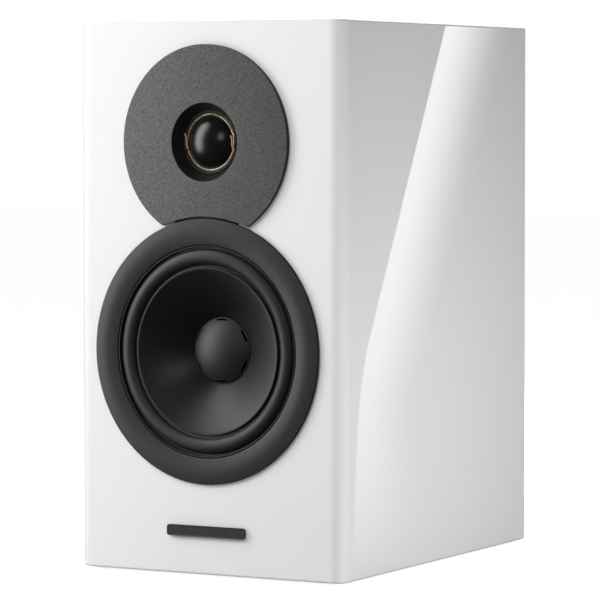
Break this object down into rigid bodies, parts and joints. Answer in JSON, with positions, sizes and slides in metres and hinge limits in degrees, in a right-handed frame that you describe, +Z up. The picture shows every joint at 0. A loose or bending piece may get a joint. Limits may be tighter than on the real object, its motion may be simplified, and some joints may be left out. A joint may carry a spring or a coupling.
{
  "type": "bookshelf speaker",
  "caption": "Compact two-way bookshelf loudspeaker with tapered sides, soft-dome tweeter, cone woofer, rear reflex port and binding posts.",
  "frame": {"origin": "centre of the bounding box in plan, at the level of the undersides of the four rubber pads", "axes": "+Z up; the drive units face -Y and the terminals +Y; +X is to the right of someone looking at the front"},
  "size_m": [0.1776, 0.2952, 0.3135],
  "materials": {
    "white_lacquer": "high-gloss white lacquer over fibreboard",
    "fibreboard": "raw fibreboard",
    "satin_black_metal": "fine-textured satin black",
    "cone_black": "matt black",
    "black_rubber": "satin black rubber",
    "dome_black": "coated black soft dome",
    "black_plastic": "satin black",
    "red_plastic": "gloss red",
    "cream_former": "cream gold coil edge",
    "copper": "enamelled copper",
    "nickel": "nickel-plated brass",
    "steel": "plated steel",
    "ferrite": "dull dark grey ferrite",
    "cast_alloy": "die-cast, dull",
    "yellow_cloth": "woven cloth, resin-dipped",
    "foam": "open-cell damping foam",
    "circuit_board": "green circuit board",
    "cable_black": "black cable jacket"
  },
  "bodies": {
    "cabinet": {"badge_bar": "satin_black_metal", "bottom_panel": "white_lacquer", "crossover_board": "circuit_board", "crossover_capacitor": "black_plastic", "crossover_inductor": "copper", "foot_pad_front_left": "black_rubber", "foot_pad_front_right": "black_rubber", "foot_pad_rear_left": "black_rubber", "foot_pad_rear_right": "black_rubber", "front_baffle": "white_lacquer", "input_cable": "cable_black", "left_side_panel": "white_lacquer", "negative_collar": "nickel", "negative_stud": "nickel", "port_tube": "black_plastic", "positive_collar": "nickel", "positive_stud": "nickel", "rear_damping_pad": "foam", "rear_panel": "white_lacquer", "right_side_panel": "white_lacquer", "terminal_plate": "satin_black_metal", "terminal_plate_screw_1": "steel", "terminal_plate_screw_2": "steel", "top_panel": "white_lacquer", "tweeter_cable": "cable_black", "tweeter_face_plate": "satin_black_metal", "tweeter_flange": "black_plastic", "tweeter_lead_left": "copper", "tweeter_lead_right": "copper", "tweeter_magnet": "ferrite", "tweeter_rear_chamber": "black_plastic", "tweeter_screw_1": "steel", "tweeter_screw_2": "steel", "tweeter_surround": "black_rubber", "tweeter_top_plate": "steel", "tweeter_yoke": "steel", "window_brace": "fibreboard", "woofer_basket": "cast_alloy", "woofer_cable": "cable_black", "woofer_magnet": "ferrite", "woofer_screw_1": "steel", "woofer_screw_2": "steel", "woofer_screw_3": "steel", "woofer_screw_4": "steel", "woofer_spider": "yellow_cloth", "woofer_surround": "black_rubber", "woofer_top_plate": "steel", "woofer_trim_ring": "satin_black_metal", "woofer_yoke": "steel"},
    "woofer_moving": {"woofer_cone": "cone_black", "woofer_dust_cap": "cone_black", "woofer_voice_coil": "copper"},
    "tweeter_moving": {"tweeter_dome": "dome_black", "tweeter_voice_coil": "cream_former"},
    "negative_clamp": {"negative_clamp_washer": "nickel"},
    "negative_knob_body": {"negative_knob": "black_plastic", "negative_colour_ring": "black_plastic"},
    "positive_clamp": {"positive_clamp_washer": "nickel"},
    "positive_knob_body": {"positive_knob": "black_plastic", "positive_colour_ring": "red_plastic"}
  },
  "joints": [
    {"name": "woofer_travel", "type": "slide", "parent": "cabinet", "child": "woofer_moving", "axis": [0, -1, 0], "range_m": [-0.0045, 0.0045], "stiffness_N_per_m": 1000, "deforming": ["woofer_surround", "woofer_spider"]},
    {"name": "tweeter_travel", "type": "slide", "parent": "cabinet", "child": "tweeter_moving", "axis": [0, -1, 0], "range_m": [-0.0003, 0.0003], "stiffness_N_per_m": 3000, "deforming": ["tweeter_surround", "tweeter_lead_left", "tweeter_lead_right"]},
    {"name": "negative_clamp_travel", "type": "slide", "parent": "cabinet", "child": "negative_clamp", "axis": [0, 1, 0], "range_m": [0, 0.004]},
    {"name": "negative_knob_turn", "type": "hinge", "parent": "negative_clamp", "child": "negative_knob_body", "pos_m": [-0.017, 0.1344, 0.0675], "axis": [0, 1, 0], "range_deg": [0, 1440]},
    {"name": "positive_clamp_travel", "type": "slide", "parent": "cabinet", "child": "positive_clamp", "axis": [0, 1, 0], "range_m": [0, 0.004]},
    {"name": "positive_knob_turn", "type": "hinge", "parent": "positive_clamp", "child": "positive_knob_body", "pos_m": [0.017, 0.1344, 0.0675], "axis": [0, 1, 0], "range_deg": [0, 1440]}
  ],
  "couplings": [
    {"joint": "negative_clamp_travel", "follows": "negative_knob_turn", "m_per_rad": 0.000159},
    {"joint": "positive_clamp_travel", "follows": "positive_knob_turn", "m_per_rad": 0.000159}
  ]
}
